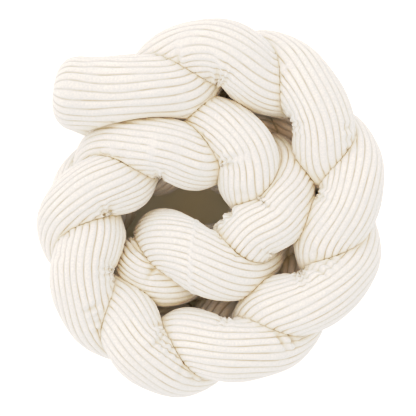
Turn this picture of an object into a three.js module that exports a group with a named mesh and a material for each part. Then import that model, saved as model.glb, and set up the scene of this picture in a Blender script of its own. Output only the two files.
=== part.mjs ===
// Braided crib bumper: three stuffed corduroy tubes are plaited flat, and the plait stands on its edge,
// wound into a coil of one and three quarter turns. Millimetres, +Z up, resting on z = 0.
import * as THREE from "three";

// The plait
const TUBE_NAMES = ["tube_a", "tube_b", "tube_c"];
const HALF_HEIGHT = 45; // how far a tube's middle line climbs and sinks about the plait's own middle
const PRESSED_FLAT = 4; // how deep the floor presses the underside of a common tube
const COMMON_RADIUS = 34;
const MIDDLE_HEIGHT = HALF_HEIGHT + COMMON_RADIUS - PRESSED_FLAT;
const LINGER = 0.45; // how long a tube follows the plait's edge before it crosses over, 0 to 1
const SWING_LEAD = 0.2; // how far the sideways swing runs ahead of the climb, in radians
const OUTER_SHYNESS = 0.20; // how much less far a tube swings to the outside, as a share
const CROSSING_STARTS = 0.75; // in lobes: the tubes lie straight before this
const CROSSING_EASE = 0.12;
const PLAIT_ENDS = 14.5; // in lobes

// The skin of a tube
const SKIN_GAP = 2.4; // clearance where two tubes press together
const SKIN_SOFTNESS = 3; // rounding where a pressed side turns into a free one
const END_DOME = 26; // length over which a sewn end closes
const DOME_BLUNTNESS = 2.6;
const SIDES = 16;
const LINE_STEPS = 900; // points on a middle line, about 2 mm apart
const RING_EVERY = 6; // points from one section to the next, about 12 mm
const END_RINGS = [1, 3, 7]; // points from a tip to the sections of its dome
const OWN_REACH = 5; // points of a tube's own line, either side, that do not press on it
const PRESS_REACH = 130; // lines further away than this do not press

const CORDUROY = { color: 0xf2ece4, roughness: 0.95, metalness: 0 };

// One row for each lobe that shows on the plait's upper edge, from the free end to the end in the eye.
// x, y: where the plait's middle passes under the lobe. thick: how far a tube swings to either side.
// radius: of the tubes. lean: how far the plait's foot stands outside its upper edge.
const LOBES = [
  { x: -167, y: 125, thick: 1, radius: 41, lean: 14 },
  { x: -76, y: 126, thick: 11, radius: 39, lean: -2 },
  { x: 25, y: 165, thick: 15, radius: 35, lean: -16 },
  { x: 121, y: 102, thick: 12, radius: 34, lean: -14 },
  { x: 150, y: 3, thick: 15, radius: 34, lean: -12 },
  { x: 115, y: -98, thick: 15, radius: 34, lean: -12 },
  { x: 17, y: -152, thick: 16, radius: 34, lean: -14 },
  { x: -73, y: -150, thick: 13, radius: 34, lean: -16 },
  { x: -136, y: -67, thick: 14, radius: 34, lean: -12 },
  { x: -122, y: 21, thick: 16, radius: 33, lean: 2 },
  { x: -50, y: 65, thick: 17, radius: 33, lean: 2 },
  { x: 41, y: 60, thick: 18, radius: 33, lean: 0 },
  { x: 67, y: -20, thick: 16, radius: 33, lean: 4 },
  { x: 6, y: -66, thick: 18, radius: 34, lean: 0 },
  { x: -69, y: -54, thick: 18, radius: 34, lean: 0 },
  { x: -119, y: -48, thick: 18, radius: 34, lean: 0 },
];

// Where each tube's middle goes at the plait's inner end, a row for each step along the plait. The first tube
// dives into the eye, the second folds back on itself beside it, and the third lies on the floor below.
const TAILS_START = 11.7; // in lobes
const TAIL_STEP = 0.4;
const TAIL_JOINS = { from: 0.3, to: 1.3 }; // in steps: where a tube passes from the plait to its tail
const TAILS = [
  [
    { x: 62, y: 5, z: 34, radius: 33 },
    { x: 60, y: -30, z: 61, radius: 33 },
    { x: 40, y: -62, z: 95, radius: 33 },
    { x: 10, y: -65, z: 118, radius: 34 },
    { x: -18, y: -49, z: 120, radius: 34 },
    { x: -40, y: -36, z: 107, radius: 33 },
    { x: -52, y: -32, z: 80, radius: 31 },
    { x: -54, y: -31, z: 54, radius: 31 },
  ],
  [
    { x: 79, y: 7, z: 80, radius: 33 },
    { x: 77, y: -36, z: 45, radius: 33 },
    { x: 45, y: -56, z: 30, radius: 33 },
    { x: 4, y: -50, z: 46, radius: 33 },
    { x: -32, y: -73, z: 80, radius: 32 },
    { x: -64, y: -76, z: 93, radius: 29 },
    { x: -77, y: -60, z: 90, radius: 27 },
    { x: -73, y: -45, z: 68, radius: 25 },
  ],
  [
    { x: 82, y: 7, z: 111, radius: 33 },
    { x: 54, y: -19, z: 119, radius: 33 },
    { x: 33, y: -42, z: 101, radius: 33 },
    { x: 12, y: -66, z: 64, radius: 33 },
    { x: -10, y: -74, z: 41, radius: 33 },
    { x: -24, y: -70, z: 33, radius: 33 },
    { x: -34, y: -64, z: 30, radius: 33 },
    { x: -44, y: -58, z: 30, radius: 33 },
  ],
];

// Natural cubic spline through one column of a table: its value and slope at row number at.
function splineThrough(rows, column) {
  const values = rows.map((row) => row[column]);
  const last = values.length - 1;
  const carry = [0];
  const bend = [0];
  for (let i = 1; i < last; i++) {
    const pivot = 4 - carry[i - 1];
    carry[i] = 1 / pivot;
    bend[i] = (6 * (values[i + 1] - 2 * values[i] + values[i - 1]) - bend[i - 1]) / pivot;
  }
  bend[last] = 0;
  for (let i = last - 1; i > 0; i--) bend[i] -= carry[i] * bend[i + 1];
  return (at) => {
    const i = Math.min(Math.floor(at), last - 1);
    const t = at - i;
    const s = 1 - t;
    const value =
      s * values[i] + t * values[i + 1] + ((s ** 3 - s) * bend[i] + (t ** 3 - t) * bend[i + 1]) / 6;
    const slope =
      values[i + 1] - values[i] + ((1 - 3 * s * s) * bend[i] + (3 * t * t - 1) * bend[i + 1]) / 6;
    return { value, slope };
  };
}

const lobeX = splineThrough(LOBES, "x");
const lobeY = splineThrough(LOBES, "y");
const lobeThick = splineThrough(LOBES, "thick");
const lobeRadius = splineThrough(LOBES, "radius");
const lobeLean = splineThrough(LOBES, "lean");
const tails = TAILS.map((rows) => ({
  x: splineThrough(rows, "x"),
  y: splineThrough(rows, "y"),
  z: splineThrough(rows, "z"),
  radius: splineThrough(rows, "radius"),
}));

// Runs with u once the tubes cross, and stays at the start before.
function crossing(u) {
  return CROSSING_STARTS + CROSSING_EASE * Math.log1p(Math.exp((u - CROSSING_STARTS) / CROSSING_EASE));
}

// A tube's sideways place, outside the plait's middle when positive.
function swing(phase) {
  const ahead = 2 * (phase + SWING_LEAD);
  const even = -Math.sin(ahead) * (1 - LINGER * Math.cos(ahead));
  return even - OUTER_SHYNESS * even * even;
}

// Steps past the start of the tails at lobe u, and how far the tube follows its tail there, 0 to 1.
function pastTheLobes(u) {
  const steps = Math.max(u - TAILS_START, 0) / TAIL_STEP;
  return { steps, own: THREE.MathUtils.smoothstep(steps, TAIL_JOINS.from, TAIL_JOINS.to) };
}

// Middle line of one tube: a figure of eight about the plait's middle, carried along the coil, and then
// the tube's own tail.
class TubeLine extends THREE.Curve {
  constructor(turn) {
    super();
    this.turn = turn;
    this.arcLengthDivisions = 4 * LINE_STEPS;
  }

  getPoint(t, target = new THREE.Vector3()) {
    const u = t * PLAIT_ENDS;
    const phase = (2 * Math.PI * (crossing(u) - 1 - this.turn)) / TUBE_NAMES.length;
    const x = lobeX(u);
    const y = lobeY(u);
    const run = Math.hypot(x.slope, y.slope);
    const sideways = lobeThick(u).value * (swing(phase) - swing(0));
    const outwards = sideways + (lobeLean(u).value * (1 - Math.cos(phase))) / 2;
    const { steps, own } = pastTheLobes(u);
    const tail = tails[this.turn];
    return target
      .set(
        x.value - (y.slope / run) * outwards,
        y.value + (x.slope / run) * outwards,
        MIDDLE_HEIGHT + HALF_HEIGHT * Math.cos(phase),
      )
      .lerp(new THREE.Vector3(tail.x(steps).value, tail.y(steps).value, tail.z(steps).value), own);
  }

  radiusAt(u) {
    const { steps, own } = pastTheLobes(u);
    return THREE.MathUtils.lerp(lobeRadius(u).value, tails[this.turn].radius(steps).value, own);
  }
}

// Share of the full radius at a distance from the nearer tip.
function dome(fromTip) {
  const open = 1 - Math.min(fromTip / END_DOME, 1);
  return (1 - open ** DOME_BLUNTNESS) ** (1 / DOME_BLUNTNESS);
}

// The points of a tube's middle line, each with its frame and its radius when nothing presses on it.
function measureTube(turn) {
  const line = new TubeLine(turn);
  const points = line.getSpacedPoints(LINE_STEPS);
  const frames = line.computeFrenetFrames(LINE_STEPS);
  const spacing = line.getLength() / LINE_STEPS;
  return points.map((point, i) => {
    const u = PLAIT_ENDS * line.getUtoTmapping(i / LINE_STEPS);
    const closing = dome(spacing * Math.min(i, LINE_STEPS - i));
    return {
      point,
      normal: frames.normals[i],
      binormal: frames.binormals[i],
      closing,
      radius: line.radiusAt(u) * closing,
    };
  });
}

const tubes = TUBE_NAMES.map((name, turn) => measureTube(turn));

// What presses on the tube at one of its points: the step to each near point of a line, and the
// measure that puts the pressed face on the plane where both skins are equally tight.
function pressesOn(turn, at) {
  const { point, radius } = tubes[turn][at];
  const presses = [];
  tubes.forEach((tube, other) => {
    tube.forEach((station, i) => {
      const own = other === turn;
      if (own && Math.abs(i - at) < OWN_REACH) return;
      const step = station.point.clone().sub(point);
      const far = step.lengthSq();
      if (far > PRESS_REACH ** 2) return;
      presses.push({ step, tight: own ? far : far + radius ** 2 - station.radius ** 2 });
    });
  });
  return presses;
}

// The smaller of two lengths, with the corner between them rounded.
function softMin(a, b, softness) {
  return Math.min(a, b) - softness * Math.log1p(Math.exp(-Math.abs(a - b) / softness));
}

// One section of a tube: rays from the middle line out to the skin, kept above the floor.
function sectionAt(turn, at) {
  const { point, normal, binormal, closing, radius } = tubes[turn][at];
  const presses = pressesOn(turn, at);
  return Array.from({ length: SIDES }, (unused, side) => {
    const angle = (2 * Math.PI * side) / SIDES;
    const ray = normal.clone().multiplyScalar(Math.cos(angle)).addScaledVector(binormal, Math.sin(angle));
    let room = Infinity;
    for (const { step, tight } of presses) {
      const along = ray.dot(step);
      if (along > 0) room = Math.min(room, tight / (2 * along));
    }
    const reach = softMin(radius, room - SKIN_GAP / 2, SKIN_SOFTNESS * closing);
    const skin = ray.multiplyScalar(Math.max(reach, 1)).add(point);
    skin.z = Math.max(skin.z, 0);
    return skin;
  });
}

// The closed skin of a tube: sections from tip to tip, with a single point at each tip.
function tubeGeometry(turn) {
  const stations = [...END_RINGS];
  for (let at = 2 * RING_EVERY; at < LINE_STEPS - RING_EVERY - 1; at += RING_EVERY) stations.push(at);
  END_RINGS.toReversed().forEach((ring) => stations.push(LINE_STEPS - ring));
  const vertices = [tubes[turn][0].point];
  stations.forEach((at) => vertices.push(...sectionAt(turn, at)));
  vertices.push(tubes[turn][LINE_STEPS].point);
  const tip = vertices.length - 1;
  const corner = (ring, side) => 1 + ring * SIDES + (side % SIDES);
  const faces = [];
  for (let side = 0; side < SIDES; side++) {
    faces.push(0, corner(0, side + 1), corner(0, side));
    for (let ring = 0; ring < stations.length - 1; ring++) {
      faces.push(corner(ring, side), corner(ring, side + 1), corner(ring + 1, side));
      faces.push(corner(ring, side + 1), corner(ring + 1, side + 1), corner(ring + 1, side));
    }
    faces.push(tip, corner(stations.length - 1, side), corner(stations.length - 1, side + 1));
  }
  const geometry = new THREE.BufferGeometry().setFromPoints(vertices);
  geometry.setIndex(faces);
  geometry.computeVertexNormals();
  return geometry;
}

const bumper = new THREE.Group();
TUBE_NAMES.forEach((name, turn) => {
  const tube = new THREE.Mesh(tubeGeometry(turn), new THREE.MeshStandardMaterial(CORDUROY));
  tube.name = name;
  bumper.add(tube);
});

// The origin is on the floor, under the middle of the coil.
const middle = new THREE.Box3().setFromObject(bumper).getCenter(new THREE.Vector3());
bumper.children.forEach((tube) => tube.position.set(-middle.x, -middle.y, 0));

export default bumper;
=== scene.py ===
"""Braided crib bumper: three stuffed corduroy tubes, plaited flat, stood on edge and coiled up."""

import bpy
import numpy as np
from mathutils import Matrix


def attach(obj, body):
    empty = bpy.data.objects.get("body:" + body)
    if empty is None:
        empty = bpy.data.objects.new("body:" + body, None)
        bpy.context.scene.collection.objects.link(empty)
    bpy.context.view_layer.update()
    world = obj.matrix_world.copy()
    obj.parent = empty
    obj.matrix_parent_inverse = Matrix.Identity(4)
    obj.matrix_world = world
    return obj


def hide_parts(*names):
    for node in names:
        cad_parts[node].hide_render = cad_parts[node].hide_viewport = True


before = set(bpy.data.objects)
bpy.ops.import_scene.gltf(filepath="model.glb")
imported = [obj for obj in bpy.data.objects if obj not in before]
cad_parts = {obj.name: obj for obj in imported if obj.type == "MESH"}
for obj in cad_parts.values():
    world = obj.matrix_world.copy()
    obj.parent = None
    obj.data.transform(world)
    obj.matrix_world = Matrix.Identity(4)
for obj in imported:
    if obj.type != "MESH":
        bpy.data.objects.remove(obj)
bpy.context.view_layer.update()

# The three tubes.
# Each is a long strip of cream wide-rib corduroy, sewn into a tube with its ribs running along it, stuffed
# with loose fibre and closed at both ends. They are plaited flat, and the plait stands on its edge in a coil.
MM = 0.001
TUBE_NAMES = ("tube_a", "tube_b", "tube_c")
HALF_HEIGHT = 45  # mm, how far a tube's middle line climbs and sinks about the plait's own middle
PRESSED_FLAT = 4  # mm, how deep the surface below presses the underside of a common tube
COMMON_RADIUS = 34  # mm
MIDDLE_HEIGHT = HALF_HEIGHT + COMMON_RADIUS - PRESSED_FLAT
SWING_LEAD = 0.2  # how far a tube's sideways swing runs ahead of its climb, in radians of the plait's round
OUTER_SHYNESS = 0.20  # how much less far it swings to the outside, as a share
LINGER = 0.45  # how long a tube follows the plait's edge before it crosses over, 0 to 1
CROSSING_STARTS, CROSSING_EASE = 0.75, 0.12  # in lobes: the tubes lie straight before this
PLAIT_ENDS = 14.5  # in lobes
COIL_MIDDLE = (2.30, -0.27, 0)  # mm, middle of the coil's box in the table's own x and y

# The tip of the free end, one row for each lobe that shows on the plait's upper edge, and one past the last
# lobe, in mm. x, y: where the plait's middle passes under the lobe. thick: how far a tube swings either way.
# radius: of the tubes. lean: how far the plait's foot stands outside its upper edge.
LOBES = (
    # x, y, thick, radius, lean
    (-167, 125, 1, 41, 14),
    (-76, 126, 11, 39, -2),
    (25, 165, 15, 35, -16),
    (121, 102, 12, 34, -14),
    (150, 3, 15, 34, -12),
    (115, -98, 15, 34, -12),
    (17, -152, 16, 34, -14),
    (-73, -150, 13, 34, -16),
    (-136, -67, 14, 34, -12),
    (-122, 21, 16, 33, 2),
    (-50, 65, 17, 33, 2),
    (41, 60, 18, 33, 0),
    (67, -20, 16, 33, 4),
    (6, -66, 18, 34, 0),
    (-69, -54, 18, 34, 0),
    (-119, -48, 18, 34, 0),
)

# Where each tube goes at the plait's inner end, in mm, with a row for each step along the plait.
# Tube a dives into the eye, tube b comes up beside it and folds back, tube c lies on the floor under both.
TAILS_START, TAIL_STEP = 11.7, 0.4  # in lobes: the first row, and the way from one row to the next
TAIL_TAKES_OVER = 0.3  # steps past the first row, where a tube begins to leave the plait for its own tail
TAILS = (
    # x, y, z, radius
    ((62, 5, 34, 33), (60, -30, 61, 33), (40, -62, 95, 33), (10, -65, 118, 34), (-18, -49, 120, 34),
     (-40, -36, 107, 33), (-52, -32, 80, 31), (-54, -31, 54, 31)),
    ((79, 7, 80, 33), (77, -36, 45, 33), (45, -56, 30, 33), (4, -50, 46, 33), (-32, -73, 80, 32),
     (-64, -76, 93, 29), (-77, -60, 90, 27), (-73, -45, 68, 25)),
    ((82, 7, 111, 33), (54, -19, 119, 33), (33, -42, 101, 33), (12, -66, 64, 33), (-10, -74, 41, 33),
     (-24, -70, 33, 33), (-34, -64, 30, 33), (-44, -58, 30, 33)),
)


def natural_spline(rows, at):
    """Natural cubic spline through evenly spaced rows: every column's value and slope at row numbers at."""
    rows = np.array(rows, float)
    last = len(rows) - 1
    system = 4 * np.eye(last + 1) + np.eye(last + 1, k=1) + np.eye(last + 1, k=-1)
    system[[0, last]] = np.eye(last + 1)[[0, last]]
    pull = np.zeros_like(rows)
    pull[1:-1] = 6 * (rows[2:] - 2 * rows[1:-1] + rows[:-2])
    bend = np.linalg.solve(system, pull)
    i = np.clip(at.astype(int), 0, last - 1)
    t = (at - i)[:, None]
    s = 1 - t
    value = s * rows[i] + t * rows[i + 1] + ((s**3 - s) * bend[i] + (t**3 - t) * bend[i + 1]) / 6
    slope = rows[i + 1] - rows[i] + ((1 - 3 * s**2) * bend[i] + (3 * t**2 - 1) * bend[i + 1]) / 6
    return value, slope


def crossing(u):
    """Runs with u once the tubes cross, and stays at the start before: the log of one plus an exponential."""
    return CROSSING_STARTS + CROSSING_EASE * np.logaddexp(0, (u - CROSSING_STARTS) / CROSSING_EASE)


def plait_phase(strand, u):
    """How far round the plait a tube has come, in radians: nought on top of its lobes, and a third of a turn
    behind the tube before it."""
    return 2 * np.pi * (crossing(u) - 1 - strand) / len(TUBE_NAMES)


def swing(phase):
    """A tube's sideways place, outside the plait's middle when positive: the sine of twice the phase, which
    lingers at the edges, runs a little ahead of the climb, and goes less far to the outside than inside."""
    ahead = 2 * (phase + SWING_LEAD)
    even = -np.sin(ahead) * (1 - LINGER * np.cos(ahead))
    return even - OUTER_SHYNESS * even**2


def middle_line(strand, u):
    """A tube's middle line: a figure of eight about the plait's middle, that passes smoothly into the tube's
    own tail. Also its radius."""
    value, slope = natural_spline(LOBES, u)
    x, y, thick, radius, lean = value.T
    run = slope[:, :2] / np.linalg.norm(slope[:, :2], axis=1, keepdims=True)
    phase = plait_phase(strand, u)
    outwards = thick * (swing(phase) - swing(0)) + lean * (1 - np.cos(phase)) / 2
    height = MIDDLE_HEIGHT + HALF_HEIGHT * np.cos(phase)
    plait = np.column_stack([x - run[:, 1] * outwards, y + run[:, 0] * outwards, height])
    past = np.clip((u - TAILS_START) / TAIL_STEP, 0, None)
    tail = natural_spline(TAILS[strand], past)[0]
    share = np.clip(past - TAIL_TAKES_OVER, 0, 1)[:, None]
    own = share**2 * (3 - 2 * share)
    line = plait + own * (tail[:, :3] - plait) - COIL_MIDDLE
    return line, radius + own[:, 0] * (tail[:, 3] - radius)


END_DOME, DOME_BLUNTNESS = 26, 2.6  # mm over which a sewn end closes, and how square it stays
RING_STEP, DOME_RINGS = 2.2, 11  # mm from one section to the next, and sections in each end
LINE_STEPS = 3000  # points of the line on which lengths are measured


def dome(from_tip):
    """Share of the full radius at a distance from the nearer tip: a superellipse."""
    open_share = 1 - np.minimum(from_tip / END_DOME, 1)
    return (1 - open_share**DOME_BLUNTNESS) ** (1 / DOME_BLUNTNESS)


def stations(strand, step, dome_rings):
    """Points along a tube, evenly spaced but for the closing ends: place, lobe number, distance from the
    first tip, share of the radius that the end leaves, and radius. Also the two tips."""
    u = np.linspace(0, PLAIT_ENDS, LINE_STEPS)
    line, radius = middle_line(strand, u)
    length = np.concatenate([[0], np.cumsum(np.linalg.norm(np.diff(line, axis=0), axis=1))])
    closing = END_DOME * (1 - np.cos(np.linspace(0, np.pi / 2, dome_rings + 2)[1:-1]))
    body = np.linspace(END_DOME, length[-1] - END_DOME, round((length[-1] - 2 * END_DOME) / step))
    along = np.concatenate([closing, body, length[-1] - closing[::-1]])
    at = np.interp(along, length, u)
    share = dome(np.minimum(along, length[-1] - along))
    line_at, radius_at = middle_line(strand, at)
    return {"line": line_at, "u": at, "along": along, "closing": share, "radius": radius_at * share,
            "tips": line[[0, -1]]}


def carried_frames(line):
    """Two directions square to the line at each point, carried along without twist by double reflection."""
    tangent = np.gradient(line, axis=0)
    tangent /= np.linalg.norm(tangent, axis=1, keepdims=True)
    normal = np.zeros_like(line)
    normal[0] = np.cross(np.cross(tangent[0], (0, 0, 1)), tangent[0])
    normal[0] /= np.linalg.norm(normal[0])
    for i, step in enumerate(np.diff(line, axis=0)):
        half_normal = normal[i] - 2 * step * (step @ normal[i]) / (step @ step)
        half_tangent = tangent[i] - 2 * step * (step @ tangent[i]) / (step @ step)
        turn = tangent[i + 1] - half_tangent
        normal[i + 1] = half_normal - 2 * turn * (turn @ half_normal) / max(turn @ turn, 1e-12)
    return normal, np.cross(tangent, normal)


SKIN_GAP, SKIN_SOFTNESS = 0.1, 0.1  # mm between two pressed skins, and the rounding where a pressed side ends
OWN_REACH, PRESS_REACH = 9, 130  # mm: a tube's own line presses past the first, and nothing past the second
PRESS_STEP, PRESS_DOME_RINGS = 4, 3  # mm between the points of the lines that press, and points in each end
OPEN_ROOM = 1000.0  # mm, where nothing presses
LEAST_REACH = 1  # mm from the middle line to the skin
BULGE, BULGE_FADES = 1, 5  # mm that the stuffing swells beside a pressed place, and how soon that fades
RAYS = 192

pressing = [stations(strand, PRESS_STEP, PRESS_DOME_RINGS) for strand in range(len(TUBE_NAMES))]


def soft_min(a, b, softness):
    """The smaller of two lengths, with the corner between them rounded."""
    return np.minimum(a, b) - softness * np.log1p(np.exp(-np.abs(a - b) / softness))


def room_round(place, radius, along, strand, rays):
    """How far each ray runs from the middle line before the plane where a neighbour is equally tight."""
    room = np.full(len(rays), OPEN_ROOM)
    for other, tube in enumerate(pressing):
        step = tube["line"] - place
        far = (step**2).sum(1)
        tight = far + radius**2 - tube["radius"] ** 2
        near = far < PRESS_REACH**2
        if other == strand:
            tight = far
            near &= np.abs(tube["along"] - along) > OWN_REACH
        if near.any():
            towards = np.maximum(rays @ step[near].T, 1e-6)
            room = np.minimum(room, (tight[near] / (2 * towards)).min(1))
    return room


def pressed_sections(strand, tube):
    """The tube's skin as sections of rays: its radius, which swells where there is little room, softly cut
    short by the room, and kept above the floor. Also how far the skin stands back from what presses it."""
    normal, binormal = carried_frames(tube["line"])
    angle = np.linspace(0, 2 * np.pi, RAYS, endpoint=False)[:, None]
    skin = np.zeros((len(tube["line"]), RAYS, 3))
    spare = np.zeros((len(tube["line"]), RAYS, 1))
    for i, place in enumerate(tube["line"]):
        rays = np.cos(angle) * normal[i] + np.sin(angle) * binormal[i]
        room = room_round(place, tube["radius"][i], tube["along"][i], strand, rays) - SKIN_GAP / 2
        bulge = BULGE * np.exp(-np.maximum(room - tube["radius"][i], 0) / BULGE_FADES) * tube["closing"][i]
        reach = soft_min(tube["radius"][i] + bulge, room, SKIN_SOFTNESS * tube["closing"][i])
        reach = np.maximum(reach, LEAST_REACH)
        skin[i] = place + rays * reach[:, None]
        spare[i, :, 0] = np.maximum(room - reach, 0)
    skin[..., 2] = np.maximum(skin[..., 2], 0)
    return skin, spare


RIBS = 24
RIB_STEADINESS = 90  # mm along the tube over which a rib keeps its course past a pressed place
TURNED_OVER = 2.2  # ribs that the cloth is turned towards the eye on top of the plait, and away from it below
# Where it is turned further: the lobe number, by how many ribs, and over how many lobes that fades both ways.
TURNS = {
    "tube_a": ((7.42, -1.3, 0.2), (14.2, -3.0, 0.5)),
    "tube_b": ((1.40, 2.0, 0.2), (2.09, 1.2, 0.17), (2.75, 0.8, 0.2), (5.02, 0.4, 0.13), (5.34, -0.8, 0.13),
               (8.5, -2.2, 0.25), (14.5, -8.0, 0.5)),
    "tube_c": ((6.38, -0.95, 0.15), (9.36, -1.3, 0.14), (11.87, 2.4, 0.2), (12.4, 2.6, 0.25)),
}


def turned_cloth(name, u):
    """How far the cloth is turned round its tube, in ribs towards the eye: with the tube's climb, so that the
    ribs run straight over a lobe where the tube bends, and by a bell curve for each turn in the table."""
    turned = TURNED_OVER * np.cos(plait_phase(TUBE_NAMES.index(name), u))
    for lobe, ribs, reach in TURNS[name]:
        turned += ribs * np.exp(-(((u - lobe) / reach) ** 2) / 2)
    return turned


def evened(values, along, reach):
    """A row of values for each section, averaged along the tube with a bell curve."""
    weight = np.exp(-(((along[:, None] - along) / reach) ** 2) / 2)
    return weight @ values / weight.sum(1, keepdims=True)


def rib_courses(skin, along, shares):
    """Where given shares of the girth lie on each section, in rays: measured round it, evened out along it.

    The girth share of every ray is centred on the ray's own angle, averaged along the tube with a bell curve,
    and read backwards, so that ribs keep their width and run straight on under a neighbour."""
    shares = np.broadcast_to(shares, (len(skin), np.shape(shares)[-1]))
    closed = np.concatenate([skin, skin[:, :1]], axis=1)
    walk = np.cumsum(np.linalg.norm(np.diff(closed, axis=1), axis=2), axis=1)
    angle_share = np.arange(RAYS) / RAYS
    share = np.pad(walk[:, :-1], ((0, 0), (1, 0))) / walk[:, -1:]
    share -= (share - angle_share).mean(1, keepdims=True)
    share = evened(share, along, RIB_STEADINESS)
    three_turns = np.concatenate([share - 1, share, share + 1], axis=1)
    rays = np.arange(-RAYS, 2 * RAYS)
    return np.array([np.interp(wanted, turns, rays) for wanted, turns in zip(shares, three_turns)])


def across_rays(values, rays):
    """Values given for each ray of every section, read at fractional rays: each between its two nearest."""
    count = values.shape[1]
    low = np.floor(rays).astype(int)
    rest = (rays - low)[..., None]
    before = np.take_along_axis(values, (low % count)[..., None], axis=1)
    after = np.take_along_axis(values, ((low + 1) % count)[..., None], axis=1)
    return before + (after - before) * rest


def outward(grid):
    """Unit normals of a closed grid: the cross product of its steps along and around."""
    along = np.gradient(grid, axis=0)
    around = np.roll(grid, -1, axis=1) - np.roll(grid, 1, axis=1)
    normal = np.cross(around, along)
    return normal / np.maximum(np.linalg.norm(normal, axis=2, keepdims=True), 1e-9)


CLOTH_COLUMNS = 2 * RIBS  # the cloth is simulated at the top and at the groove of every rib
CLOTH_ROUNDS = 120
CLOTH_EVENNESS = 35  # mm along the tube over which the cloth shares out its length
CLOTH_LENGTH = 0.75  # share of a section's girth where the form is shorter than the cloth, or just as long
STRAIGHT_LENGTH = 0.8  # of the cloth over that of the form, at the smooth ends
# Share of a stretch that a round takes back along and around the tube, where a squeeze is taken back in full.
YIELD_ALONG, YIELD_AROUND = 0.12, 0.5
BEND_ALONG, BEND_AROUND = 0.45, 0.06  # share of a sharp bend that a round evens out
HOLD = 0.012  # share of the way back to the stuffing's form in a round
MOST_IN, MOST_OUT, MOST_ASIDE = 2.0, 1.6, 1.2  # mm that the cloth may leave the stuffing's form
PINCHED = 0.4  # share of the middle line's length, under which a bend's inside is too tight for puckers
PRESSED_IN = 0.1  # mm that it may sink where a neighbour presses it
PULLED_TIGHT = 0.8  # mm that it sinks where it is only pulled tight
FIRST_RUFFLE = 0.35  # mm
chance = np.random.default_rng(28)  # one fixed seed, so that every run is alike


def pull_pairs(first, second, rest, yielding):
    """Moves each pair of points along the line between them, half each, towards the cloth's length there."""
    between = second - first
    far = np.maximum(np.linalg.norm(between, axis=2, keepdims=True), 1e-6)
    wrong = far - rest
    share = np.where(wrong > 0, yielding, 1.0)
    move = between * (0.5 * share * wrong / far)
    return first + move, second - move


def gathered_cloth(form, tube, spare):
    """How far the cloth leaves the stuffing's form: a sheet that keeps its own length along every rib, so
    that it gathers into puckers inside each bend and pulls tight outside it, solved by moving neighbours."""
    facing = outward(form)
    around = np.linalg.norm(np.roll(form, -1, axis=1) - form, axis=2, keepdims=True)
    steps = np.diff(tube["along"])[:, None]
    form_steps = np.linalg.norm(np.diff(form, axis=0), axis=2)
    per_mm = np.quantile(form_steps / steps, CLOTH_LENGTH, axis=1, keepdims=True)
    straight = (tube["u"][:-1] < CROSSING_STARTS) | (tube["closing"][:-1] < 1)
    per_mm[straight] = STRAIGHT_LENGTH
    rest = (evened(per_mm, tube["along"][:-1], CLOTH_EVENNESS) * steps)[..., None]
    along_share = np.linalg.norm(np.gradient(form, axis=0), axis=2) / np.gradient(tube["along"])[:, None]
    open_share = np.clip(along_share / PINCHED, 0, 1)[..., None] ** 2
    most_out = np.minimum(spare, MOST_OUT) * open_share
    most_in = np.minimum(spare + PRESSED_IN, MOST_IN) * open_share
    ruffle = chance.normal(0, FIRST_RUFFLE, form.shape[:2] + (1,))
    cloth = form + facing * ruffle
    for _ in range(CLOTH_ROUNDS):
        for start in (0, 1):
            pairs = (len(cloth) - start) // 2
            low, high = slice(start, start + 2 * pairs, 2), slice(start + 1, start + 2 * pairs, 2)
            cloth[low], cloth[high] = pull_pairs(cloth[low], cloth[high], rest[start::2], YIELD_ALONG)
        for start in (0, 1):
            shifted, sides = np.roll(cloth, -start, axis=1), np.roll(around, -start, axis=1)
            left, right = pull_pairs(shifted[:, ::2], shifted[:, 1::2], sides[:, ::2], YIELD_AROUND)
            shifted[:, ::2], shifted[:, 1::2] = left, right
            cloth = np.roll(shifted, start, axis=1)
        moved = cloth - form
        moved[1:-1] += BEND_ALONG * ((moved[2:] + moved[:-2]) / 2 - moved[1:-1])
        moved += BEND_AROUND * ((np.roll(moved, 1, axis=1) + np.roll(moved, -1, axis=1)) / 2 - moved)
        lift = (moved * facing).sum(2, keepdims=True)
        aside = moved - lift * facing
        aside *= np.minimum(1, MOST_ASIDE / np.maximum(np.linalg.norm(aside, axis=2, keepdims=True), 1e-6))
        cloth = form + (1 - HOLD) * (aside + np.clip(lift, -most_in, most_out) * facing)
    return cloth - form


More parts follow.
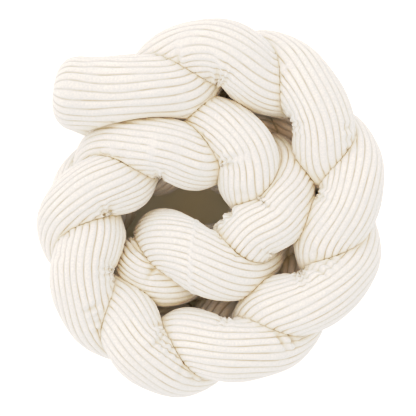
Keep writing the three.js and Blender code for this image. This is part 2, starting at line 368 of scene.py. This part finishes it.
# The folds that show in the cloth, a row for each group. lobe, rib: the group's middle, by the lobe number
# along its tube, and round it in ribs from the top towards the eye. folds, spacing: how many lie side by
# side, and how many mm apart. reach: ribs to either side. depth: in mm. slant: in mm a rib. tuck: how many mm
# higher the cloth stands past them. slip: by how much of a rib the ribs are put out of line there.
FOLDS = {
    "tube_a": (
        # lobe, rib, folds, spacing, reach, depth, slant, tuck, slip
        (4.40, 0.6, 2, 8, 1.7, 1.8, 0.0, 0.0, 0.0),
        (6.56, 1.3, 4, 7, 2.4, 3.4, 0.0, 0.0, 0.0),
        (6.76, 3.5, 6, 8, 3.2, 4.4, 0.0, 0.0, 0.0),
        (9.64, 1.8, 4, 8, 2.4, 3.2, 0.0, 0.0, 0.3),
        (9.95, 0.4, 1, 8, 3.4, 0.9, 0.0, 0.0, 0.3),
        (12.83, 2.2, 1, 8, 2.2, 2.2, 0.0, 0.0, 0.0),
    ),
    "tube_b": (
        (1.66, 0.4, 1, 8, 2.8, 2.2, 0.0, 4.5, 0.5),
        (1.95, 2.4, 1, 8, 3.2, 1.4, 3.2, 3.5, 0.5),
        (4.75, 3.6, 4, 8, 2.4, 2.4, 0.0, 0.0, 0.0),
        (7.65, 2.0, 4, 7, 2.2, 3.0, 0.0, 0.0, 0.0),
        (8.14, 21.8, 3, 6, 1.5, 1.8, 0.0, 0.0, 0.0),
        (10.62, 4.8, 2, 7, 2.0, 2.4, 0.0, 0.0, 0.0),
        (11.03, 3.6, 1, 8, 3.8, 2.0, 0.0, -4.0, 0.5),
        (11.33, 2.7, 2, 7, 1.9, 1.8, 0.0, 0.0, 0.0),
        (14.00, 5.6, 4, 8, 2.6, 2.6, 0.0, 0.0, 0.0),
    ),
    "tube_c": (
        (2.62, 0.2, 2, 9, 2.1, 1.8, 0.0, 0.0, 0.3),
        (3.20, 19.7, 3, 7, 1.5, 2.2, 0.0, 0.0, 0.0),
        (5.58, -0.1, 2, 9, 2.4, 4.6, 0.0, 0.0, 0.0),
        (8.80, 4.0, 5, 8, 2.2, 1.2, 0.0, 0.0, 0.0),
        (12.32, 3.2, 4, 6, 2.4, 3.0, 0.0, 0.0, 0.0),
    ),
}
FOLD_WIDTH = 2.7  # mm
FOLD_UNEVENNESS = (0.15, 1.2, 0.25)  # of its place in spacings, its slant in mm a rib, its depth as a share
TUCK_FADES, SLIP_FADES = 14, 60  # mm past a fold, over which the cloth levels and the ribs fall into line
FOLD_CLOSES, LEAST_FOLD = 3, 0.3  # mm from a contact, where folds are pressed shut, and the share left there
SLIP_LENGTH = 1.6  # mm along, over which ribs slip
# The cross seam where two strips of cloth meet: lobe number at the tube's top, and its slant in mm a rib.
SEAMS = {"tube_a": (13.29, 2.7)}
SEAM_HEIGHT, SEAM_WIDTH, SEAM_SLIP = 0.9, 2.0, 0.4  # mm, mm, and ribs out of line


def folds_and_slips(name, tube, ribs):
    """How deep a tube's folds are at every point, how far its ribs slip, and the share of their height left.

    A fold is a valley between two swellings: a bell curve's second derivative along the tube, that fades with
    the square of the distance across it. A tuck is a step that fades to both sides. Ribs slip at the fold,
    where they are flat, and ease back past it. A seam is a low ridge between two furrows, with flat ribs."""
    depth = np.zeros_like(ribs)
    slip = np.zeros_like(depth)
    ribbing = np.ones_like(depth)
    along = tube["along"][:, None]
    for lobe, rib, folds, spacing, reach, deep, slant, tuck, slipped in FOLDS[name]:
        across = (ribs - rib + RIBS / 2) % RIBS - RIBS / 2
        within = np.clip(1 - (across / reach) ** 2, 0, 1) ** 2
        past = along - np.interp(lobe, tube["u"], tube["along"]) - slant * across
        for number in range(folds):
            off, lean, strength = chance.normal(0, FOLD_UNEVENNESS)
            widths = (past - (number - (folds - 1) / 2 + off) * spacing - lean * across) / FOLD_WIDTH
            depth += deep * (1 + strength) * within * (1 - widths**2) * np.exp(-(widths**2) / 2)
        beyond = (1 + np.tanh(past / SLIP_LENGTH)) / 2
        depth -= tuck * within * (beyond - 0.5) * np.exp(-np.abs(past) / TUCK_FADES)
        slip += slipped * within * beyond * np.exp(-np.maximum(past, 0) / SLIP_FADES)
        ribbing *= 1 - (slipped > 0) * within * np.exp(-((past / FOLD_WIDTH) ** 2))
    if name in SEAMS:
        lobe, slant = SEAMS[name]
        across = (ribs + RIBS / 2) % RIBS - RIBS / 2
        past = along - np.interp(lobe, tube["u"], tube["along"]) - slant * across
        widths = past / SEAM_WIDTH
        depth -= SEAM_HEIGHT * (1 - widths**2) * np.exp(-(widths**2) / 2)
        slip += SEAM_SLIP * (1 + np.tanh(past / SLIP_LENGTH)) / 2
        ribbing *= 1 - np.exp(-(widths**2))
    return depth, slip, ribbing


RIB_STATIONS = np.array([0, 0.09, 0.30, 0.70, 0.91])  # where a rib is measured, from groove to groove
GIRTH_SHARES = ((np.arange(RIBS)[:, None] + RIB_STATIONS) / RIBS).ravel()
GROOVE_DEPTH, GROOVE_SHARPNESS = 2.3, 2.8  # mm, and how narrow a groove is beside its rib
# Beside a contact the grooves are also painted more strongly with their painted shade.
SQUEEZED_OUT, SQUEEZED_REACH = 0.9, 5  # share by which grooves are deeper beside a contact, and mm from it
GROOVE_CLOSES = 0.8  # mm from a neighbour, where the pile fills the grooves
OPEN_AT_ENDS = 4  # how strongly a closing end keeps its grooves open there
RIB_PITCH = 8  # mm, so that the cloth's map runs alike across and along the ribs
# Slow waves along and round a tube: wavelength in mm, turns round the girth, size.
RIB_WAVES = ((140, 3, 0.08), (85, -5, 0.05), (48, 7, 0.02))  # in ribs
LUMPS = ((110, 2, 0.5), (64, -3, 0.4), (41, 4, 0.2))  # in mm
LUMPS_LEVEL = 6  # mm from a contact, where the lumps are pressed level


def slow_waves(rows, along):
    """A sum of sine waves that run along and round the tube, each with its own start."""
    total = np.zeros((len(along), len(GIRTH_SHARES)))
    for length, turns, size in rows:
        total += size * np.sin(2 * np.pi * (along[:, None] / length + turns * GIRTH_SHARES + chance.random()))
    return total


def rib_relief():
    """Depth below a rib's top at each share of the girth: a power of the distance from the rib's middle."""
    from_middle = np.abs(2 * np.tile(RIB_STATIONS, RIBS) - 1)
    return -GROOVE_DEPTH * from_middle**GROOVE_SHARPNESS


def closed_mesh(name, grid, tips, uv):
    """A closed skin: quads from section to section, and a fan of triangles at each tip."""
    sections, sides = grid.shape[:2]
    corner = np.arange(sections * sides).reshape(sections, sides)
    beside = np.roll(corner, -1, axis=1)
    quads = np.stack([corner[:-1], beside[:-1], beside[1:], corner[1:]], axis=2).reshape(-1, 4)
    first, last = sections * sides, sections * sides + 1
    fan_in = np.column_stack([np.full(sides, first), beside[0], corner[0]])
    fan_out = np.column_stack([np.full(sides, last), corner[-1], beside[-1]])
    mesh = bpy.data.meshes.new(name)
    vertices = np.concatenate([grid.reshape(-1, 3), tips]) * MM
    mesh.from_pydata(vertices, [], quads.tolist() + fan_in.tolist() + fan_out.tolist())
    mesh.polygons.foreach_set("use_smooth", np.ones(len(mesh.polygons), bool))
    across, along = uv
    side_u = np.append(across, RIBS)
    quad_u = np.stack([side_u[:-1], side_u[1:], side_u[1:], side_u[:-1]], axis=1)
    quad_v = np.stack([along[:-1], along[:-1], along[1:], along[1:]], axis=1)
    quad_uv = np.stack(np.broadcast_arrays(quad_u[None], quad_v[:, None]), axis=3).reshape(-1, 2)
    middle_u = (side_u[:-1] + side_u[1:]) / 2
    in_uv = np.stack([np.column_stack([middle_u, side_u[1:], side_u[:-1]]),
                      np.full((sides, 3), along[0])], axis=2).reshape(-1, 2)
    out_uv = np.stack([np.column_stack([middle_u, side_u[:-1], side_u[1:]]),
                       np.full((sides, 3), along[-1])], axis=2).reshape(-1, 2)
    layer = mesh.uv_layers.new(name="ribs_and_length")
    layer.data.foreach_set("uv", np.concatenate([quad_uv, in_uv, out_uv]).astype(np.float32).ravel())
    mesh.update()
    return mesh


NAP_COLOUR = (0.88, 0.836, 0.775, 1)
# The grooves' colour: partly the bare ground weave's own colour, partly painted shade, darker and warmer than
# the weave for the shade in the grooves.
GROUND_AND_SHADE_COLOUR = (0.585, 0.48, 0.36, 1)
# Painted shade: the pile beside a contact and down a fold gets this warmer, darker cream for the shade that
# falls there.
PAINTED_SHADE_COLOUR = (0.76, 0.67, 0.545, 1)
PAINTED_SHADE_REACH, PAINTED_SHADE_DEPTH = 4, 3  # mm from a neighbour, or down a fold, over which shade is painted into the pile as a warmer, darker cream
PILE_SHADES = (0.93, 1.06)  # the darkest and the lightest tufts, as shares of the nap's colour
NAP_SCALE, NAP_DETAIL, NAP_CONTRAST = 480, 3, 3.0  # of the noise that the tufts follow, in cells a metre
PATCH_SCALE, PATCH_DETAIL = 45, 4  # of the noise for larger patches of brushed pile
GROOVE_HALF = 0.20  # of a rib, from the middle of a groove to where its ground weave colour and painted shade end
# The patch noise over which a groove is laid open, and how much of its weave colour and painted shade is left
# where the pile closes it.
OPEN_FROM, OPEN_TO, LEAST_WEAVE_AND_SHADE = 0.35, 0.65, 0.35
FUZZ_STRENGTH, FUZZ_HEIGHT = 0.35, 0.0006  # as a share, and in m


def cream_corduroy():
    """Soft cut pile on the ribs, the ground weave in the grooves with painted shade, painted shade beside
    contacts and down folds, with a fine nap and faint patches.
    """
    material = bpy.data.materials.new("cream_corduroy")
    material.use_nodes = True
    nodes, links = material.node_tree.nodes, material.node_tree.links
    shader = nodes["Principled BSDF"]
    shader.inputs["Roughness"].default_value = 0.95
    shader.inputs["Specular IOR Level"].default_value = 0.2
    shader.inputs["Sheen Weight"].default_value = 0.8
    shader.inputs["Sheen Roughness"].default_value = 0.5
    shader.inputs["Sheen Tint"].default_value = (1, 0.97, 0.93, 1)

    cloth = nodes.new("ShaderNodeUVMap")
    cloth.uv_map = "ribs_and_length"
    across = nodes.new("ShaderNodeSeparateXYZ")
    links.new(cloth.outputs["UV"], across.inputs[0])
    from_groove = nodes.new("ShaderNodeMath")
    from_groove.operation = "PINGPONG"
    from_groove.inputs[1].default_value = 0.5
    links.new(across.outputs["X"], from_groove.inputs[0])
    groove = nodes.new("ShaderNodeMapRange")
    groove.interpolation_type = "SMOOTHSTEP"
    groove.inputs["From Min"].default_value = GROOVE_HALF
    groove.inputs["From Max"].default_value = 0.0
    links.new(from_groove.outputs[0], groove.inputs["Value"])

    place = nodes.new("ShaderNodeTexCoord")
    nap = nodes.new("ShaderNodeTexNoise")
    nap.inputs["Scale"].default_value = NAP_SCALE
    nap.inputs["Detail"].default_value = NAP_DETAIL
    links.new(place.outputs["Object"], nap.inputs["Vector"])
    patches = nodes.new("ShaderNodeTexNoise")
    patches.inputs["Scale"].default_value = PATCH_SCALE
    patches.inputs["Detail"].default_value = PATCH_DETAIL
    links.new(place.outputs["Object"], patches.inputs["Vector"])

    mottled = nodes.new("ShaderNodeMix")
    mottled.data_type = "RGBA"
    for socket, shade in zip("AB", PILE_SHADES):
        mottled.inputs[socket].default_value = tuple(shade * part for part in NAP_COLOUR[:3]) + (1,)
    strong_nap = nodes.new("ShaderNodeMath")
    strong_nap.operation = "MULTIPLY_ADD"
    strong_nap.inputs[1].default_value = NAP_CONTRAST
    strong_nap.inputs[2].default_value = -NAP_CONTRAST / 2
    links.new(nap.outputs["Fac"], strong_nap.inputs[0])
    tufts = nodes.new("ShaderNodeMath")
    tufts.operation = "ADD"
    tufts.use_clamp = True
    links.new(strong_nap.outputs[0], tufts.inputs[0])
    links.new(patches.outputs["Fac"], tufts.inputs[1])
    links.new(tufts.outputs[0], mottled.inputs["Factor"])
    colour = nodes.new("ShaderNodeMix")
    colour.data_type = "RGBA"
    colour.inputs["B"].default_value = GROUND_AND_SHADE_COLOUR
    links.new(mottled.outputs["Result"], colour.inputs["A"])
    ribbing = nodes.new("ShaderNodeAttribute")
    ribbing.attribute_name = "ribbing"
    laid_open = nodes.new("ShaderNodeMapRange")
    laid_open.inputs["From Min"].default_value = OPEN_FROM
    laid_open.inputs["From Max"].default_value = OPEN_TO
    laid_open.inputs["To Min"].default_value = LEAST_WEAVE_AND_SHADE
    links.new(patches.outputs["Fac"], laid_open.inputs["Value"])
    grooved = nodes.new("ShaderNodeMath")
    grooved.operation = "MULTIPLY"
    links.new(groove.outputs["Result"], grooved.inputs[0])
    links.new(laid_open.outputs["Result"], grooved.inputs[1])
    weave_and_shade = nodes.new("ShaderNodeMath")
    weave_and_shade.operation = "MULTIPLY"
    links.new(grooved.outputs[0], weave_and_shade.inputs[0])
    links.new(ribbing.outputs["Fac"], weave_and_shade.inputs[1])
    links.new(weave_and_shade.outputs[0], colour.inputs["Factor"])
    # Painted shade, mixed into the colour beside contacts and down folds.
    painted_shade = nodes.new("ShaderNodeAttribute")
    painted_shade.attribute_name = "painted_shade"
    painted_shade_mix = nodes.new("ShaderNodeMix")
    painted_shade_mix.data_type = "RGBA"
    painted_shade_mix.inputs["B"].default_value = PAINTED_SHADE_COLOUR
    links.new(painted_shade.outputs["Fac"], painted_shade_mix.inputs["Factor"])
    links.new(colour.outputs["Result"], painted_shade_mix.inputs["A"])
    links.new(painted_shade_mix.outputs["Result"], shader.inputs["Base Color"])

    fuzz = nodes.new("ShaderNodeBump")
    fuzz.inputs["Strength"].default_value = FUZZ_STRENGTH
    fuzz.inputs["Distance"].default_value = FUZZ_HEIGHT
    links.new(nap.outputs["Fac"], fuzz.inputs["Height"])
    links.new(fuzz.outputs["Normal"], shader.inputs["Normal"])
    return material


corduroy = cream_corduroy()
for strand, name in enumerate(TUBE_NAMES):
    tube = stations(strand, RING_STEP, DOME_RINGS)
    closing = tube["closing"][:, None]
    skin, spare = pressed_sections(strand, tube)
    columns = rib_courses(skin, tube["along"], np.arange(CLOTH_COLUMNS) / CLOTH_COLUMNS)
    moved = gathered_cloth(across_rays(skin, columns), tube, across_rays(spare, columns))
    ribs = GIRTH_SHARES * RIBS + turned_cloth(name, tube["u"])[:, None]
    folds, slip, ribbing = folds_and_slips(name, tube, ribs)
    shares = (ribs + slip + slow_waves(RIB_WAVES, tube["along"])) / RIBS
    courses = rib_courses(skin, tube["along"], shares)
    form = across_rays(skin, courses)
    free = across_rays(spare, courses)[..., 0]
    grid = form + across_rays(moved, shares * CLOTH_COLUMNS)
    folds *= np.clip(free / FOLD_CLOSES, LEAST_FOLD, 1)
    lumps = slow_waves(LUMPS, tube["along"]) * np.clip(free / LUMPS_LEVEL, 0, 1)
    swelling = np.minimum(lumps - folds, free / 2) * closing  # at most half of the way to a neighbour
    squeezed = 1 + SQUEEZED_OUT * np.exp(-free / SQUEEZED_REACH)
    ribbing *= squeezed * np.clip(free / GROOVE_CLOSES + OPEN_AT_ENDS * (1 - closing), 0, 1)
    relief = rib_relief() * ribbing * closing
    ribbed = grid + outward(grid) * (swelling + relief)[..., None]
    ribbed[..., 2] = np.maximum(ribbed[..., 2], 0)
    cloth_map = (GIRTH_SHARES * RIBS, tube["along"] / RIB_PITCH)
    mesh = closed_mesh(f"{name}_cloth", ribbed, tube["tips"], cloth_map)
    # The ribbing also sets how strongly a groove is painted with its weave colour and painted shade.
    ribs_left = mesh.attributes.new("ribbing", "FLOAT", "POINT")
    ribs_left.data.foreach_set("value", np.append(ribbing, [0, 0]).astype(np.float32))
    painted_shade = mesh.attributes.new("painted_shade", "FLOAT", "POINT")
    # Painted shade: strongest at a neighbour and down a deep fold, as a share.
    sunk = np.maximum(folds - ((grid - form) * outward(form)).sum(2) - PULLED_TIGHT, 0)
    painted_shade_share = np.clip(np.exp(-free / PAINTED_SHADE_REACH) + sunk / PAINTED_SHADE_DEPTH, 0, 1)
    painted_shade.data.foreach_set("value", np.append(painted_shade_share, [0, 0]).astype(np.float32))
    mesh.materials.append(corduroy)
    cloth = bpy.data.objects.new(f"{name}_cloth", mesh)
    bpy.context.scene.collection.objects.link(cloth)
    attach(cloth, "root")
    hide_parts(name)

# The white surface under the coil and the soft studio light.
# A matt white sheet lies flat under the object, lit evenly from all round. It also glows of itself with
# painted light, which lights the coil from below, so that it is as bright as the light.
# The glow is strongest round the coil, where it lifts the coil's shadow. The studio has no lamps of its own:
# its sky is a little brighter from one side.
FLOOR_HALF = 4.0  # m
FLOOR_CLEARANCE = 0.0004  # m below the pressed undersides
FLOOR_COLOUR = (0.9, 0.9, 0.9, 1)
GLOW_STRENGTH = 0.45
# The sheet's painted glow lifts the coil's shadow on it. It is strong round the coil, and faint and warm in
# its eye: m from the coil's middle, and its colour.
GLOW = (
    (0.145, (0.06, 0.045, 0.015, 1)),
    (0.175, (1, 1, 1, 1)),
    (0.21, (1, 1, 1, 1)),
    (0.33, (0.35, 0.35, 0.35, 1)),
)
LIGHT_FROM = (-0.7, 0.7, 0)  # the side of the studio that is brighter
SKY_STRENGTH, LIGHT_BIAS = 1.17, 0.30  # the even light, and how much more comes from that side, as a share
HORIZON_SHARE, FULL_LIGHT_FROM = 0.6, 0.6  # of the full light, and the sine of the height where it is full
SIDE_LIGHT = (0.97, 1.0, 1.04, 1)
OVERHEAD_LIGHT = (1.0, 0.70, 0.30, 1)  # warm, and most of what reaches the deep gaps
OVERHEAD_FROM, OVERHEAD_TO = 0.86, 0.98  # the sine of the height over which the one passes into the other
TONES = ((0.08, 0.07), (0.16, 0.15), (0.35, 0.45), (0.6, 0.72), (0.85, 0.87))  # the half shade is lifted
COMBINED_CURVE = 3  # the tone curve for all three colours

floor_mesh = bpy.data.meshes.new("white_surface")
floor_corners = FLOOR_HALF * np.array([(-1, -1, 0), (1, -1, 0), (1, 1, 0), (-1, 1, 0)])
floor_mesh.from_pydata(floor_corners - (0, 0, FLOOR_CLEARANCE), [], [(0, 1, 2, 3)])
floor = bpy.data.objects.new("white_surface", floor_mesh)
bpy.context.scene.collection.objects.link(floor)

white = bpy.data.materials.new("white_with_painted_glow")
white.use_nodes = True
sheet = white.node_tree.nodes["Principled BSDF"]
sheet.inputs["Base Color"].default_value = FLOOR_COLOUR
sheet.inputs["Roughness"].default_value = 0.9
sheet.inputs["Emission Strength"].default_value = GLOW_STRENGTH
sheet_place = white.node_tree.nodes.new("ShaderNodeTexCoord")
from_middle = white.node_tree.nodes.new("ShaderNodeVectorMath")
from_middle.operation = "LENGTH"
white.node_tree.links.new(sheet_place.outputs["Object"], from_middle.inputs[0])
glow = white.node_tree.nodes.new("ShaderNodeValToRGB")
glow.color_ramp.interpolation = "EASE"
ring = glow.color_ramp.elements
ring[0].position, ring[0].color = GLOW[0]
ring[1].position, ring[1].color = GLOW[1]
for far, colour in GLOW[2:]:
    ring.new(far).color = colour
white.node_tree.links.new(from_middle.outputs["Value"], glow.inputs["Fac"])
white.node_tree.links.new(glow.outputs["Color"], sheet.inputs["Emission Color"])
floor_mesh.materials.append(white)

sky = bpy.data.worlds.new("soft_light")
sky.use_nodes = True
sky_nodes, sky_links = sky.node_tree.nodes, sky.node_tree.links
direction = sky_nodes.new("ShaderNodeTexCoord")
height = sky_nodes.new("ShaderNodeSeparateXYZ")
sky_links.new(direction.outputs["Generated"], height.inputs[0])
overhead = sky_nodes.new("ShaderNodeMapRange")
overhead.interpolation_type = "SMOOTHSTEP"
overhead.inputs["From Min"].default_value = OVERHEAD_FROM
overhead.inputs["From Max"].default_value = OVERHEAD_TO
sky_links.new(height.outputs["Z"], overhead.inputs["Value"])
light = sky_nodes.new("ShaderNodeMix")
light.data_type = "RGBA"
light.inputs["A"].default_value = SIDE_LIGHT
light.inputs["B"].default_value = OVERHEAD_LIGHT
sky_links.new(overhead.outputs["Result"], light.inputs["Factor"])
sky_links.new(light.outputs["Result"], sky_nodes["Background"].inputs["Color"])
facing = sky_nodes.new("ShaderNodeVectorMath")
facing.operation = "DOT_PRODUCT"
facing.inputs[1].default_value = LIGHT_FROM
sky_links.new(direction.outputs["Generated"], facing.inputs[0])
sideways = sky_nodes.new("ShaderNodeMapRange")
sideways.inputs["From Min"].default_value = -1
sideways.inputs["To Min"].default_value = SKY_STRENGTH * (1 - LIGHT_BIAS)
sideways.inputs["To Max"].default_value = SKY_STRENGTH * (1 + LIGHT_BIAS)
sky_links.new(facing.outputs["Value"], sideways.inputs["Value"])
upwards = sky_nodes.new("ShaderNodeMapRange")
upwards.inputs["From Max"].default_value = FULL_LIGHT_FROM
upwards.inputs["To Min"].default_value = HORIZON_SHARE
sky_links.new(height.outputs["Z"], upwards.inputs["Value"])
strength = sky_nodes.new("ShaderNodeMath")
strength.operation = "MULTIPLY"
sky_links.new(sideways.outputs["Result"], strength.inputs[0])
sky_links.new(upwards.outputs["Result"], strength.inputs[1])
sky_links.new(strength.outputs[0], sky_nodes["Background"].inputs["Strength"])
bpy.context.scene.world = sky
bpy.context.scene.view_settings.view_transform = "Standard"
bpy.context.scene.view_settings.use_curve_mapping = True
tones = bpy.context.scene.view_settings.curve_mapping
for light_in, light_out in TONES:
    tones.curves[COMBINED_CURVE].points.new(light_in, light_out)
tones.update()

# The camera.
# It looks straight down on the coil, with the photograph's top away from it along +Y.
CAMERA_HEIGHT = 1.5  # m
FRAME_PIXELS = 416
MM_PER_PIXEL, MEASURED_HEIGHT = 1.08, 115  # mm of one pixel at that height, where the scale was measured
SENSOR = 36.0  # mm

focal_pixels = (CAMERA_HEIGHT / MM - MEASURED_HEIGHT) / MM_PER_PIXEL
lens = bpy.data.cameras.new("camera")
lens.sensor_width = SENSOR
lens.lens = SENSOR * focal_pixels / FRAME_PIXELS
camera = bpy.data.objects.new("camera", lens)
camera.location = (-COIL_MIDDLE[0] * MM, -COIL_MIDDLE[1] * MM, CAMERA_HEIGHT)
bpy.context.scene.collection.objects.link(camera)
bpy.context.scene.camera = camera
